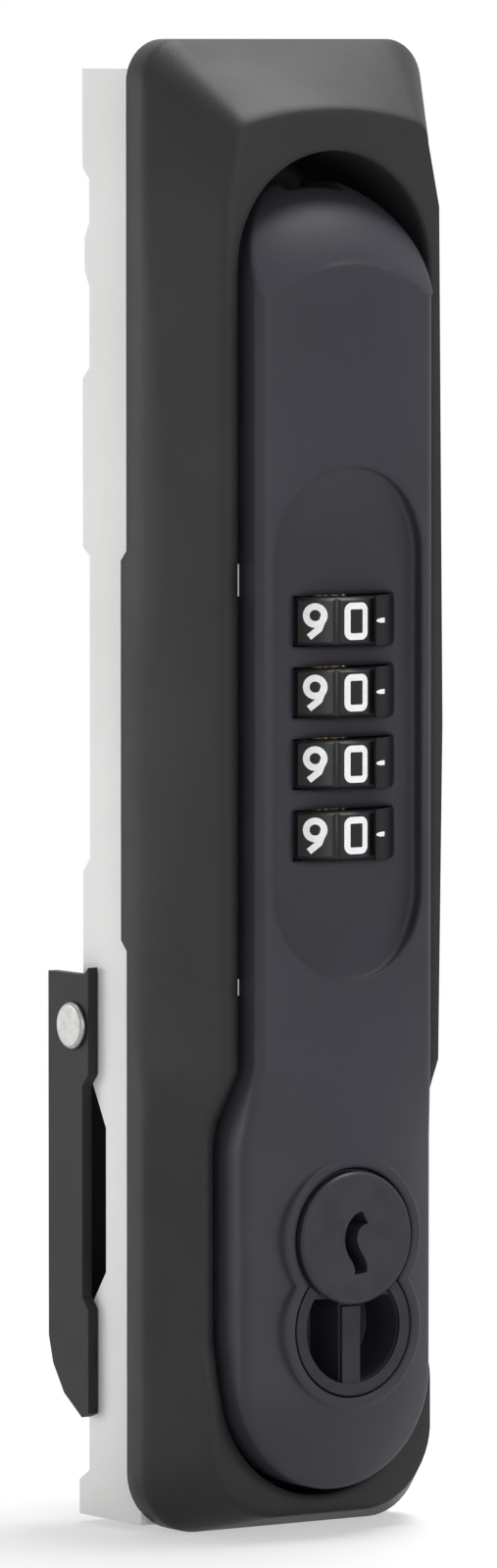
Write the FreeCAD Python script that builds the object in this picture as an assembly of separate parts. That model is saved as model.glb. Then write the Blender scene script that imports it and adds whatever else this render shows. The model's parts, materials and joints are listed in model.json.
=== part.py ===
"""Rack cabinet door lock: a swing handle with a four-wheel combination and a key plug.

The origin is the centre of the door's front face under the cover. +X is right as seen from
in front, +Y goes into the cabinet and +Z is up. All lengths are in millimetres.
"""
import FreeCAD
import Part
import os
from math import cos, hypot, pi, radians, sin, sqrt

V = FreeCAD.Vector
X_AXIS = V(1, 0, 0)
Y_AXIS = V(0, 1, 0)
Z_AXIS = V(0, 0, 1)

# Clearances
RUN = 0.05            # radial, between a shaft and its hole
SLIDE = 0.3           # between other moving neighbours
SEAT = 0.05           # round a piece that is held still in a pocket
PAST = 1.0            # how far a cutting tool runs past what it cuts

# Widths, from the grip outwards
GRIP_HALF = 13.5
LOBE_HALF = GRIP_HALF + 1.2
DISH_HALF = GRIP_HALF + 1.3
DISH_LOW_HALF = LOBE_HALF + 1.1
RIM_HALF = DISH_HALF + 2.1          # raised rim at its widest
RIM_TOP_HALF = RIM_HALF - 0.6
RIM_LOW_HALF = RIM_HALF - 2.6       # beside the lobe, at full height before the rim is cut down
RIM_FOOT_HALF = RIM_HALF - 1.3
COVER_W = 2 * (RIM_HALF + 4.6)
BASE_HALF = COVER_W / 2 - 2.0
GUARD_IN = BASE_HALF + 0.2
COVER_SCREW_X = BASE_HALF - 3.0
SCOOP_HALF = GRIP_HALF - 2.2

# Front cover
COVER_H = 191.3
COVER_CORNER = 5.5
COVER_LOW_CORNER = 8.0
FLANGE_T = 3.8
PAN_F = 0.2           # depth of the shallow pan in the cover's back that the base seats in
RIM_FRONT = 15.5      # height of the raised rim over the door
RIM_TOP = 86.8
RIM_CROWN = (13.2, 84.9)    # where the rim's flat top arc ends
RIM_CORNER = (14.15, 84.0)
RIM_CORNER_END = (14.6, 82.4)
RIM_SHOULDER = 74.2
RIM_WIDEST = 8.0
RIM_DROP_TOP = -35.3
RIM_DROP_END = -43.5
RIM_WAIST_END = -69.0
RIM_FOOT_TOP = -76.0
RIM_FOOT_END = -82.0
RIM_BOTTOM = -92.4
RIM_LOW_FRONT = 11.3
RIM_FOOT_FRONT = 12.8
FLOOR_T = 1.2         # height of the dish's floor over the door
LUG_TOP = 30.5
LUG_BOTTOM = -20.7
LUG_DEPTH = 1.3
LUG_W = 1.8

# Dish that the handle lies in
FLARE_TOP = -34.6
FLARE_END = -45.7
DISH_END = -90.9
LOBE_Z = DISH_END + DISH_LOW_HALF     # centre of the round lower end
WELL_BACK = 6.0       # depth of the well behind the door's face
WELL_WALL = 1.4
WELL_BELOW = 10.2     # the well's reach below the pivot

# Pockets in the dish's left wall for two small steel clips, which steady the handle
CLIP_Z = (27.2, -24.6)
CLIP_H = (4.2, 2.2)
CLIP_T = 0.5
CLIP_F = (12.8, 15.1)

# Handle pivot
PIVOT_F = 5.5         # height of the hinge axis over the door
PIVOT_Z = 66.0
PIN_R = 2.5
DISH_TOP_Z = PIVOT_Z + 0.7    # centre of the dish's round upper end
TONGUE_HALF = 4.0
TONGUE_R = 5.2
SLOT_ABOVE = 9.0      # room for the tongue's shank as the handle lifts
SLOT_FRONT = 1.2

# Handle
GRIP_EDGE_F = 18.6
GRIP_CROWN_F = 19.9
LOBE_EDGE_F = 16.2
LOBE_CROWN_F = 20.0
NOSE_Z = PIVOT_Z - 1.3        # centre of the round upper end
NOSE_AXIS_Z = NOSE_Z - 11.2   # the nose's dome is turned about an axis at this height
NOSE_FRONT_R = GRIP_HALF + 0.2
NOSE_FRONT_F = 19.6
NOSE_MID_R = 21.2
NOSE_MID_F = 14.3
NOSE_BACK_R = 25.6
NOSE_BACK_F = 3.0
HANDLE_BACK_F = 1.6
EDGE_ROUND = 1.7
PLATE_T = 1.0
PLATE_INSET = 1.4
PLATE_FRONT_F = HANDLE_BACK_F + PLATE_T
PLATE_SCREW_X = LOBE_HALF - 6.1     # the lower pair
PLATE_SCREW_LOW_Z = LOBE_Z - 5.9
PLATE_SCREWS = ((0.0, NOSE_AXIS_Z - 5.0), (0.0, FLARE_TOP + 0.6), (-PLATE_SCREW_X, PLATE_SCREW_LOW_Z),
                (PLATE_SCREW_X, PLATE_SCREW_LOW_Z))
PLATE_SCREW_R = 1.0
PLATE_SCREW_LENGTH = 6.0
PLATE_SCREW_HEAD = 0.85       # how far the countersunk head is wider than the shank
PLATE_SCREW_HEAD_H = 0.7
HOLLOW_F = 14.0       # height of the hollow below the hinge
HOLLOW_WALL = 4.0
HOLLOW_BELOW = 12.0   # from the pivot down to the hollow
SCREW_BOSS_R = 3.4
MID_WALL = 1.4
LIP_BELOW = 4.0       # how far the lip's ring reaches into the lobe
LIP_FLOOR = 0.8       # depth of the ledge inside the lip below the core's front
EDGE_BEVEL = 0.25

# Scoop round the wheels
SCOOP_TOP = 41.4
SCOOP_BOTTOM = -24.1
SCOOP_FLOOR_F = 17.1
SCOOP_END_F = 19.2    # height that the curved ends of its floor reach
SCOOP_RUN = 9.0

# Wheels
DIALS = 4
DIAL_PITCH = 9.1
DIAL_TOP_Z = 21.8
DIAL_R = 8.9
DIAL_AXIS_F = 11.7
DIAL_W = 6.1
DIAL_BEVEL = 0.45
WINDOW_H = 6.5
HUB_R = 4.1
HUB_LENGTH = 8.8
DIGITS = 10
FINGER_GROOVE = (0.7, 0.45)   # radius, and how far its centre lies outside the wheel
STAR_NOTCH = (0.8, 0.3)
GATE_HALF = 1.0
GATE_DEPTH = 1.4
SHAFT_R = 1.5
SHAFT_SEAT = 2.5      # length of the shaft's ends in the shell
PACK_END = 0.35       # room past the last hub at each end of the pack
PACK_ROOF_F = DIAL_AXIS_F + 4.3
TAB_T = 0.4
TAB_FROM = 17.0       # degrees from the front where the index tab begins
FENCE_X = 9.3
FENCE_T = 1.5
SPRING_T = 0.5
DIAL_Z = [DIAL_TOP_Z - n * DIAL_PITCH for n in range(DIALS)]
PACK_TOP = DIAL_Z[0] + HUB_LENGTH / 2 + PACK_END
PACK_BOTTOM = DIAL_Z[-1] - HUB_LENGTH / 2 - PACK_END

# Key plug and its figure-eight core
PLUG_Z = -57.0
PLUG_FACE_R = 8.5
PLUG_FACE_F = 20.9
PLUG_FACE_T = 1.5
PLUG_R = 6.5
CORE_DROP = 11.6      # from the plug down to the centre of the lower lobe
CORE_LOW_Z = PLUG_Z - CORE_DROP
CORE_R = 8.75
CORE_FRONT_F = 19.3
CORE_BACK_F = 8.3
CORE_POCKET_R = 7.2
CORE_POCKET_DEPTH = 7.0
CORE_WEB_T = 3.0
CAP_T = 0.7
LIP_OUTER_R = 10.4
LIP_INNER_R = 9.0
LIP_FRONT_F = 20.2
TAIL_SIDE = 2.8
KEYWAY_TOP = 2.6      # over the plug's axis
KEYWAY_BOTTOM = -4.6
KEYWAY_W = 1.9
KEYWAY_SWAY = 0.75
KEYWAY_DEPTH = 8.5
THROW_SCREW_R = 0.9

# Spiral cam and sliding catch
CAM_R = 9.3
CAM_T = 1.3
CAM_BACK_F = 6.7
FOLLOW_R = 1.0
FOLLOW_START = 4.0    # distance of the follower from the plug's axis at rest
THROW = 3.5           # travel of the catch over a quarter turn
SLIDE_HALF = 5.0
SLIDE_T = 2.2
SLIDE_BACK_F = 4.1
SLIDE_FRONT_F = SLIDE_BACK_F + SLIDE_T
SLIDE_TOP = PLUG_Z - 2.5
LEG_TOP = LOBE_Z - LOBE_HALF + 10.4
LEG_T = 3.4
TOE_LENGTH = 2.6
TOE_T = 2.5
TOE_GAP = 0.3
KEEPER_T = 1.6
KEEPER_H = 5.2
KEEPER_HALF = DISH_HALF - 2.3
KEEPER_BACK_F = PAN_F - KEEPER_T
KEEPER_GAP = 0.9      # between the toe and the keeper's edge at rest
KEEPER_EDGE = LEG_TOP - LEG_T - TOE_LENGTH - KEEPER_GAP
KEEPER_SCREW_X = KEEPER_HALF - 3.5
KEEPER_SCREW_Z = KEEPER_EDGE - 3.2
KEEPER_SCREW_R = 0.9
KEEPER_SCREW_HEAD_H = 1.1
KEEPER_SCREW_SLOT = 0.5

# Base behind the cover: depths of its stepped rear edge behind the door's face
BASE_TOP = 91.9
BASE_BOTTOM = -94.8
BASE_WALL = 2.2
BASE_DEEP = 13.2
BASE_SHALLOW = 11.6
BASE_NOTCH = 12.7
BASE_LOW = 11.9
BASE_CUT = 7.9
BASE_FOOT = 14.2
BASE_REAR_EDGE = [
    (BASE_DEEP, BASE_TOP), (BASE_DEEP, 79.2), (BASE_SHALLOW, 77.7), (BASE_SHALLOW, 72.2),
    (BASE_NOTCH, 70.3), (BASE_NOTCH, 65.9), (BASE_SHALLOW, 64.0), (BASE_SHALLOW, 53.6),
    (BASE_DEEP, 52.1), (BASE_DEEP, LUG_TOP), (BASE_SHALLOW, LUG_TOP - 1.2), (BASE_SHALLOW, -9.6),
    (BASE_DEEP, -11.4), (BASE_DEEP, -24.5), (BASE_LOW, -25.8), (BASE_LOW, -37.0),
    (BASE_CUT, -44.2), (BASE_CUT, -62.8), (BASE_LOW, -68.2), (BASE_LOW, -88.9),
    (BASE_FOOT, -90.3), (BASE_FOOT, BASE_BOTTOM),
]
RIB_DEPTH = 3.0
RIB_T = 2.0
SPINE_X = 7.0
RIB_Z = 13.0          # cross ribs above and below the middle
LOW_RIB_Z = -64.0
BEARING_T = 5.4
BEARING_HALF_H = 12.0
BEARING_BEVEL = 1.2
BEARING_FRONT = WELL_BACK + FLOOR_T
BEARING_BACK = BEARING_FRONT + BEARING_T
BUSH_R = 8.0
BUSH_COLLAR_R = BUSH_R + 1.6
BUSH_COLLAR_T = 0.9
SPINDLE_R = 6.0
CLIP_GROOVE = 0.7     # depth of the circlip's groove
CIRCLIP_T = 1.0
CIRCLIP_RING = 1.5    # radial width outside the shaft, and radius of the ears
CIRCLIP_EAR_X = 3.0
CIRCLIP_EYE_R = 0.6
CIRCLIP_MOUTH = 1.8   # half the opening between the ears
SQUARE = 7.0
SQUARE_LENGTH = 9.5
DRIVE_GAP = 3.0       # between the bearing's rear face and the drive cam
DRIVE_T = 4.0
DRIVE_LENGTH = 38.0
DRIVE_HALF = 7.5
DRIVE_FRONT = BEARING_BACK + DRIVE_GAP
DRIVE_BACK = DRIVE_FRONT + DRIVE_T
SQUARE_END = BEARING_BACK + SQUARE_LENGTH
ROD_HOLE_R = 3.1
WASHER_R = 6.5
WASHER_T = 1.2
CAM_SCREW_R = 2.0
CAM_SCREW_LENGTH = 9.0
CAM_SCREW_SLOT = 1.1
FIX_SPACING = 76.0
FIX_R = 2.1
FIX_BOSS_R = 5.0
FIX_FLOOR = 2.0       # depth behind the door's face where the inserts' holes end
INSERT_R = 3.4
INSERT_GROOVE = (6.4, 7.4, 0.4)     # its depths behind the door's face, and how far it cuts in
COVER_SCREW_Z = (44.0, -28.0)
COVER_SCREW_R = 1.0
COVER_SCREW_HEAD_R = 2.0
COVER_SCREW_HEAD_H = 1.4
COVER_SCREW_SLOT = 0.6
COVER_SCREW_LENGTH = 10.0
COVER_SCREW_SEAT = 3.0

# Guard hinged behind the base
GUARD_TOP = -24.5
GUARD_BOTTOM = -81.9
GUARD_T = 1.5
GUARD_BACK = 18.9
GUARD_ARM = 9.5
GUARD_SPINE = 10.9
GUARD_NOTCH_TOP = -37.4
GUARD_NOTCH_END = -67.8
GUARD_WINDOW = (9.0, -66.0, -44.0)    # half width, bottom and top
GUARD_PIN_Y = 12.9
GUARD_PIN_Z = -31.2
GUARD_PIN_R = 2.0
GUARD_HEAD_R = 3.05
GUARD_HEAD_T = 0.8
GUARD_LUG_R = 3.4


# Building blocks

def box(x0, x1, f0, f1, z0, z1):
    """A block between two heights over the door, f0 behind f1."""
    return Part.makeBox(x1 - x0, f1 - f0, z1 - z0, V(x0, -f1, z0))


def rod_y(r, x, z, f0, f1):
    """A round rod square to the door, between two heights over it."""
    return Part.makeCylinder(r, f1 - f0, V(x, -f1, z), Y_AXIS)


def rod_x(r, x0, x1, f, z):
    return Part.makeCylinder(r, x1 - x0, V(x0, -f, z), X_AXIS)


def rod_z(r, x, f, z0, z1):
    return Part.makeCylinder(r, z1 - z0, V(x, -f, z0), Z_AXIS)


def line(a, b):
    return Part.LineSegment(a, b).toShape()


def arc(a, b, c):
    return Part.Arc(a, b, c).toShape()


def fuse(first, *rest):
    return first.fuse(list(rest)).removeSplitter()


def cut(first, *rest):
    return first.cut(list(rest))


def plate(wire, f0, f1):
    """A flat plate from an outline drawn at the door's face."""
    face = Part.Face(wire)
    face.translate(V(0, -f1, 0))
    return face.extrude(V(0, f1 - f0, 0))


def side_plate(points, x0, x1):
    """A plate from an outline of (height over the door, z) points."""
    wire = Part.makePolygon([V(x0, -f, z) for f, z in points + points[:1]])
    return Part.Face(wire).extrude(V(x1 - x0, 0, 0))


def rounded_rectangle(half_w, z0, z1, r, low_r, y=0.0, splits=()):
    """Outline with arc corners; splits are heights where each long side has an extra point."""
    k = r * (1 - sqrt(0.5))
    j = low_r * (1 - sqrt(0.5))
    left = [V(-half_w, y, z) for z in (z0 + low_r, *sorted(splits), z1 - r)]
    right = [V(-p.x, y, p.z) for p in reversed(left)]
    edges = [line(a, b) for a, b in zip(left, left[1:])]
    edges.append(arc(left[-1], V(-half_w + k, y, z1 - k), V(-half_w + r, y, z1)))
    edges.append(line(V(-half_w + r, y, z1), V(half_w - r, y, z1)))
    edges.append(arc(V(half_w - r, y, z1), V(half_w - k, y, z1 - k), right[0]))
    edges += [line(a, b) for a, b in zip(right, right[1:])]
    edges.append(arc(right[-1], V(half_w - j, y, z0 + j), V(half_w - low_r, y, z0)))
    edges.append(line(V(half_w - low_r, y, z0), V(-half_w + low_r, y, z0)))
    edges.append(arc(V(-half_w + low_r, y, z0), V(-half_w + j, y, z0 + j), left[0]))
    return Part.Wire(edges)


def lobed_outline(top_half, top_z, low_half, inset=0.0):
    """Long outline with round ends that widens to a lower lobe, as the dish and the handle have."""
    a = top_half - inset
    b = low_half - inset
    points = [V(-b, 0, LOBE_Z), V(-b, 0, FLARE_END), V(-a, 0, FLARE_TOP), V(-a, 0, top_z)]
    edges = [line(p, q) for p, q in zip(points, points[1:])]
    edges.append(arc(V(-a, 0, top_z), V(0, 0, top_z + a), V(a, 0, top_z)))
    points = [V(a, 0, top_z), V(a, 0, FLARE_TOP), V(b, 0, FLARE_END), V(b, 0, LOBE_Z)]
    edges += [line(p, q) for p, q in zip(points, points[1:])]
    edges.append(arc(V(b, 0, LOBE_Z), V(0, 0, LOBE_Z - b), V(-b, 0, LOBE_Z)))
    return Part.Wire(edges)


def stadium(half, z_top, z_bottom, f0, f1):
    """Upright slot-shaped plate whose round ends reach z_top and z_bottom."""
    a, b = z_top - half, z_bottom + half
    wire = Part.Wire([
        line(V(-half, 0, b), V(-half, 0, a)),
        arc(V(-half, 0, a), V(0, 0, z_top), V(half, 0, a)),
        line(V(half, 0, a), V(half, 0, b)),
        arc(V(half, 0, b), V(0, 0, z_bottom), V(-half, 0, b)),
    ])
    return plate(wire, f0, f1)


def figure_eight(r, f0, f1):
    """Two overlapping round plates, one over the plug and one over the lower lobe."""
    return fuse(rod_y(r, 0, PLUG_Z, f0, f1), rod_y(r, 0, CORE_LOW_Z, f0, f1))


def wavy_slot(points, width, f0, f1):
    """Slot of even width along a smooth path of (x, z) points."""
    left, right = [], []
    for n, (x, z) in enumerate(points):
        x0, z0 = points[max(n - 1, 0)]
        x1, z1 = points[min(n + 1, len(points) - 1)]
        reach = hypot(x1 - x0, z1 - z0)
        nx, nz = (z0 - z1) / reach * width / 2, (x1 - x0) / reach * width / 2
        left.append(V(x + nx, 0, z + nz))
        right.append(V(x - nx, 0, z - nz))
    near, far = Part.BSplineCurve(), Part.BSplineCurve()
    near.interpolate(left)
    far.interpolate(right[::-1])
    return plate(Part.Wire([near.toShape(), line(left[-1], right[-1]), far.toShape(),
                            line(right[0], left[0])]), f0, f1)


def edges_where(shape, test):
    return [e for e in shape.Edges if test(e)]


def pan_head_screw(shank_r, length, head_r, head_h, slot_w):
    """Screw along +Y: the shank's tip at -length, the head's seat at 0, with a cross slot."""
    shank = Part.makeCylinder(shank_r, length, V(0, -length, 0), Y_AXIS)
    head = Part.makeCylinder(head_r, head_h, V(0, 0, 0), Y_AXIS)
    rim = edges_where(head, lambda e: abs(e.CenterOfMass.y - head_h) < 1e-6 and e.Length > head_r)
    head = head.makeChamfer(head_h * 0.3, rim)
    slot = Part.makeBox(slot_w * 3, head_h, slot_w, V(-slot_w * 1.5, head_h * 0.5, -slot_w / 2))
    turned = slot.copy()
    turned.rotate(V(0, 0, 0), Y_AXIS, 90)
    return cut(fuse(head, shank), slot, turned)


def placed(shape, x, y, z):
    copy = shape.copy()
    copy.translate(V(x, y, z))
    return copy


# Root body: cover, base and spindle

def rim_wire():
    """Outline of the boss at the rim's height, with as many edges as its foot."""
    y = -RIM_FRONT
    left = [V(-x, y, z) for x, z in (
        (RIM_FOOT_HALF, RIM_FOOT_END), (RIM_FOOT_HALF, RIM_FOOT_TOP), (RIM_LOW_HALF, RIM_WAIST_END),
        (RIM_LOW_HALF, RIM_DROP_END), (RIM_TOP_HALF, RIM_DROP_TOP), (RIM_HALF, RIM_WIDEST),
        (RIM_TOP_HALF, RIM_SHOULDER), RIM_CORNER_END)]
    right = [V(-p.x, y, p.z) for p in reversed(left)]
    (cx, cz), (mx, mz) = RIM_CROWN, RIM_CORNER
    end_x = RIM_FOOT_HALF * 0.35
    low = V(RIM_FOOT_HALF * 0.8, y, RIM_BOTTOM + RIM_FOOT_HALF * 0.22)
    edges = [line(p, q) for p, q in zip(left, left[1:])]
    edges.append(arc(left[-1], V(-mx, y, mz), V(-cx, y, cz)))
    edges.append(arc(V(-cx, y, cz), V(0, y, RIM_TOP), V(cx, y, cz)))
    edges.append(arc(V(cx, y, cz), V(mx, y, mz), right[0]))
    edges += [line(p, q) for p, q in zip(right, right[1:])]
    edges.append(arc(right[-1], low, V(end_x, y, RIM_BOTTOM)))
    edges.append(line(V(end_x, y, RIM_BOTTOM), V(-end_x, y, RIM_BOTTOM)))
    edges.append(arc(V(-end_x, y, RIM_BOTTOM), V(-low.x, y, low.z), left[0]))
    return Part.Wire(edges)


def rim_drop():
    """What is cut off the boss beside the lobe, where the rim runs down to its low stretch."""
    far = RIM_FRONT + 5
    end = -COVER_H / 2 - 5
    ease = (RIM_FRONT - RIM_LOW_FRONT) * 0.12
    drop = [(RIM_FRONT, RIM_DROP_TOP), (RIM_FRONT - ease, RIM_DROP_TOP - 1.2),
            (RIM_LOW_FRONT + ease, RIM_DROP_END + 1.4), (RIM_LOW_FRONT, RIM_DROP_END - 0.8),
            (RIM_LOW_FRONT, RIM_WAIST_END - 1), (RIM_FOOT_FRONT, RIM_FOOT_TOP - 1), (RIM_FOOT_FRONT, end),
            (far, end), (far, RIM_DROP_TOP)]
    return side_plate(drop, -COVER_W, COVER_W)


def make_front_cover():
    splits = (RIM_FOOT_TOP, RIM_WAIST_END, RIM_DROP_END, RIM_DROP_TOP, RIM_WIDEST, RIM_SHOULDER)
    low, high, half = -COVER_H / 2, COVER_H / 2, COVER_W / 2
    flange = plate(rounded_rectangle(half, low, high, COVER_CORNER, COVER_LOW_CORNER), 0, FLANGE_T)
    pan = box(-BASE_HALF - SEAT, BASE_HALF + SEAT, -PAST, PAN_F, BASE_BOTTOM - SEAT, BASE_TOP + SEAT)
    foot = rounded_rectangle(half, low, high, COVER_CORNER, COVER_LOW_CORNER, -FLANGE_T, splits)
    boss = Part.makeLoft([foot, rim_wire()], True, True)
    body = cut(fuse(cut(flange, pan), boss), rim_drop())
    far = RIM_FRONT + 5
    well_r = DISH_HALF + WELL_WALL
    well_low = PIVOT_Z - WELL_BELOW
    tub = stadium(well_r, DISH_TOP_Z + well_r, well_low - well_r - WELL_WALL, -BEARING_FRONT, 0.5)
    tub = cut(tub, box(-COVER_W, COVER_W, -BASE_DEEP, far, LOBE_Z, well_low - WELL_WALL))
    tip = LUG_DEPTH / 2
    lug = [(tip, LUG_BOTTOM - tip), (-LUG_DEPTH, LUG_BOTTOM + LUG_DEPTH), (-LUG_DEPTH, LUG_TOP - LUG_DEPTH),
           (tip, LUG_TOP + tip)]
    lugs = [side_plate(lug, x0, x0 + LUG_W) for x0 in (-half, half - LUG_W)]
    body = fuse(body, tub, *lugs)
    dish = plate(lobed_outline(DISH_HALF, DISH_TOP_Z, DISH_LOW_HALF), FLOOR_T, far)
    well = cut(stadium(DISH_HALF, DISH_TOP_Z + DISH_HALF, well_low - DISH_HALF, -WELL_BACK, FLOOR_T + PAST),
               box(-COVER_W, COVER_W, -BASE_DEEP, far, LOBE_Z, well_low))
    tools = [dish, well, rod_y(SPINDLE_R + 1.5, 0, PIVOT_Z, -BASE_DEEP, 0)]
    channel = SLIDE_HALF + SLIDE
    tools.append(box(-channel, channel, -PAST, FLOOR_T + PAST, KEEPER_EDGE, LEG_TOP + 1.2))
    tools += [rod_y(COVER_SCREW_R, x, z, -PAST, COVER_SCREW_LENGTH - COVER_SCREW_SEAT + 0.2)
              for x in (-COVER_SCREW_X, COVER_SCREW_X) for z in COVER_SCREW_Z]
    tools += [rod_y(KEEPER_SCREW_R, x, KEEPER_SCREW_Z, -PAST, FLOOR_T + PAST)
              for x in (-KEEPER_SCREW_X, KEEPER_SCREW_X)]
    tools += [clip_pocket(z, h) for z, h in zip(CLIP_Z, CLIP_H)]
    return cut(body, *tools)


def clip_pocket(z, h):
    """Shallow pocket in the dish's left wall for one clip."""
    f0, f1 = CLIP_F
    return box(-DISH_HALF - CLIP_T - SEAT, -DISH_HALF + CLIP_T, f0 - SEAT, f1 + SEAT,
               z - h / 2 - SEAT, z + h / 2 + SEAT)


def make_catch_keeper():
    """Steel plate behind the dish's floor, whose edge the catch hooks."""
    body = box(-KEEPER_HALF, KEEPER_HALF, KEEPER_BACK_F, PAN_F, KEEPER_EDGE - KEEPER_H, KEEPER_EDGE)
    holes = [rod_y(KEEPER_SCREW_R + SLIDE, x, KEEPER_SCREW_Z, KEEPER_BACK_F - PAST, PAST)
             for x in (-KEEPER_SCREW_X, KEEPER_SCREW_X)]
    return cut(body, *holes)


def make_keeper_screws():
    length = FLOOR_T - KEEPER_BACK_F - 0.1
    one = pan_head_screw(KEEPER_SCREW_R, length, KEEPER_SCREW_R + 1.0, KEEPER_SCREW_HEAD_H,
                         KEEPER_SCREW_SLOT)
    return Part.makeCompound([placed(one, x, -KEEPER_BACK_F, KEEPER_SCREW_Z)
                              for x in (-KEEPER_SCREW_X, KEEPER_SCREW_X)])


def make_base_housing():
    """Light moulding behind the cover, whose side walls carry the stepped and notched outline."""
    rear = [(-depth, z) for depth, z in BASE_REAR_EDGE]
    body = side_plate([(PAN_F, BASE_TOP), *rear, (PAN_F, BASE_BOTTOM)], -BASE_HALF, BASE_HALF)
    inner = BASE_HALF - BASE_WALL
    deepest = BASE_FOOT + PAST
    body = cut(body, box(-inner, inner, -deepest, PAST, BASE_BOTTOM + BASE_WALL, BASE_TOP - BASE_WALL))
    bearing = box(-inner, inner, -BEARING_BACK, -BEARING_FRONT, PIVOT_Z - BEARING_HALF_H,
                  PIVOT_Z + BEARING_HALF_H)
    rear_edges = edges_where(bearing, lambda e: abs(e.CenterOfMass.y - BEARING_BACK) < 0.01
                             and abs(e.CenterOfMass.x) < 0.01)
    ribs = [bearing.makeChamfer(BEARING_BEVEL, rear_edges)]
    half = FIX_SPACING / 2
    for z in (half, RIB_Z, -RIB_Z, -half, LOW_RIB_Z):
        ribs.append(box(-inner, inner, -RIB_DEPTH, PAN_F, z - RIB_T / 2, z + RIB_T / 2))
    for x in (-SPINE_X, SPINE_X):
        ribs.append(box(x - RIB_T / 2, x + RIB_T / 2, -RIB_DEPTH, PAN_F, LOW_RIB_Z, half))
    ribs += [rod_y(FIX_BOSS_R, 0, z, -BASE_SHALLOW, PAN_F) for z in (-half, half)]
    holes = [rod_y(INSERT_R, 0, z, -BASE_SHALLOW - PAST, -FIX_FLOOR) for z in (-half, half)]
    for x in (-COVER_SCREW_X, COVER_SCREW_X):
        for z in COVER_SCREW_Z:
            ribs.append(rod_y(COVER_SCREW_HEAD_R + 0.4, x, z, -COVER_SCREW_SEAT, PAN_F))
            holes.append(rod_y(COVER_SCREW_R + SLIDE, x, z, -COVER_SCREW_SEAT - PAST, PAST))
            holes.append(rod_y(COVER_SCREW_HEAD_R + 0.1, x, z, -deepest, -COVER_SCREW_SEAT))
    lug_t = BASE_WALL
    for x0 in (-inner - 1.0, inner + 1.0 - lug_t):
        ribs.append(rod_x(GUARD_LUG_R, x0, x0 + lug_t, -GUARD_PIN_Y, GUARD_PIN_Z))
        ribs.append(box(x0, x0 + lug_t, -GUARD_PIN_Y, -BASE_CUT, GUARD_PIN_Z - GUARD_LUG_R,
                        GUARD_PIN_Z + GUARD_LUG_R))
    holes.append(rod_y(BUSH_R, 0, PIVOT_Z, -BEARING_BACK - PAST, 0))
    holes.append(rod_x(GUARD_PIN_R, -BASE_HALF - PAST, BASE_HALF + PAST, -GUARD_PIN_Y, GUARD_PIN_Z))
    return cut(fuse(body, *ribs), *holes)


def make_cover_screws():
    one = pan_head_screw(COVER_SCREW_R, COVER_SCREW_LENGTH, COVER_SCREW_HEAD_R, COVER_SCREW_HEAD_H,
                         COVER_SCREW_SLOT)
    return Part.makeCompound([placed(one, x, COVER_SCREW_SEAT, z)
                              for x in (-COVER_SCREW_X, COVER_SCREW_X) for z in COVER_SCREW_Z])


def make_fixing_inserts():
    """Two threaded brass inserts that take the fixing screws."""
    start, end, bite = INSERT_GROOVE
    solids = []
    for z in (-FIX_SPACING / 2, FIX_SPACING / 2):
        body = rod_y(INSERT_R, 0, z, -BASE_SHALLOW, -FIX_FLOOR)
        groove = cut(rod_y(INSERT_R + PAST, 0, z, -end, -start), rod_y(INSERT_R - bite, 0, z, -end, -start))
        solids.append(cut(body, groove, rod_y(FIX_R, 0, z, -BASE_SHALLOW - PAST, 0)))
    return Part.makeCompound(solids)


def make_spindle():
    """Tongue in the handle's fork, round journal and square end for the drive cam."""
    tongue = fuse(rod_x(TONGUE_R, -TONGUE_HALF, TONGUE_HALF, PIVOT_F, PIVOT_Z),
                  box(-TONGUE_HALF, TONGUE_HALF, -WELL_BACK, PIVOT_F, PIVOT_Z - TONGUE_R, PIVOT_Z + TONGUE_R))
    f0, f1 = circlip_faces()
    journal = rod_y(SPINDLE_R, 0, PIVOT_Z, f0 - 0.5, -WELL_BACK + 0.5)
    groove = cut(rod_y(SPINDLE_R + PAST, 0, PIVOT_Z, f0, f1),
                 rod_y(SPINDLE_R - CLIP_GROOVE, 0, PIVOT_Z, f0, f1))
    half = SQUARE / 2
    square = box(-half, half, -SQUARE_END, -BEARING_BACK, PIVOT_Z - half, PIVOT_Z + half)
    tapped = rod_y(CAM_SCREW_R, 0, PIVOT_Z, -SQUARE_END - PAST, -SQUARE_END + CAM_SCREW_LENGTH)
    cross = rod_x(PIN_R + RUN, -TONGUE_HALF - PAST, TONGUE_HALF + PAST, PIVOT_F, PIVOT_Z)
    return cut(fuse(tongue, journal, square), groove, tapped, cross)


def circlip_faces():
    """Heights of the circlip's two faces, just behind the bush's collar."""
    front = -BEARING_BACK - BUSH_COLLAR_T
    return front - CIRCLIP_T, front


def make_spindle_bush():
    """Flanged plastic bush in the base's bearing wall."""
    body = rod_y(BUSH_R, 0, PIVOT_Z, -BEARING_BACK, -BEARING_FRONT)
    collar = rod_y(BUSH_COLLAR_R, 0, PIVOT_Z, -BEARING_BACK - BUSH_COLLAR_T, -BEARING_BACK)
    return cut(fuse(body, collar), rod_y(SPINDLE_R + RUN, 0, PIVOT_Z, -BEARING_BACK - 2, 0))


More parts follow.
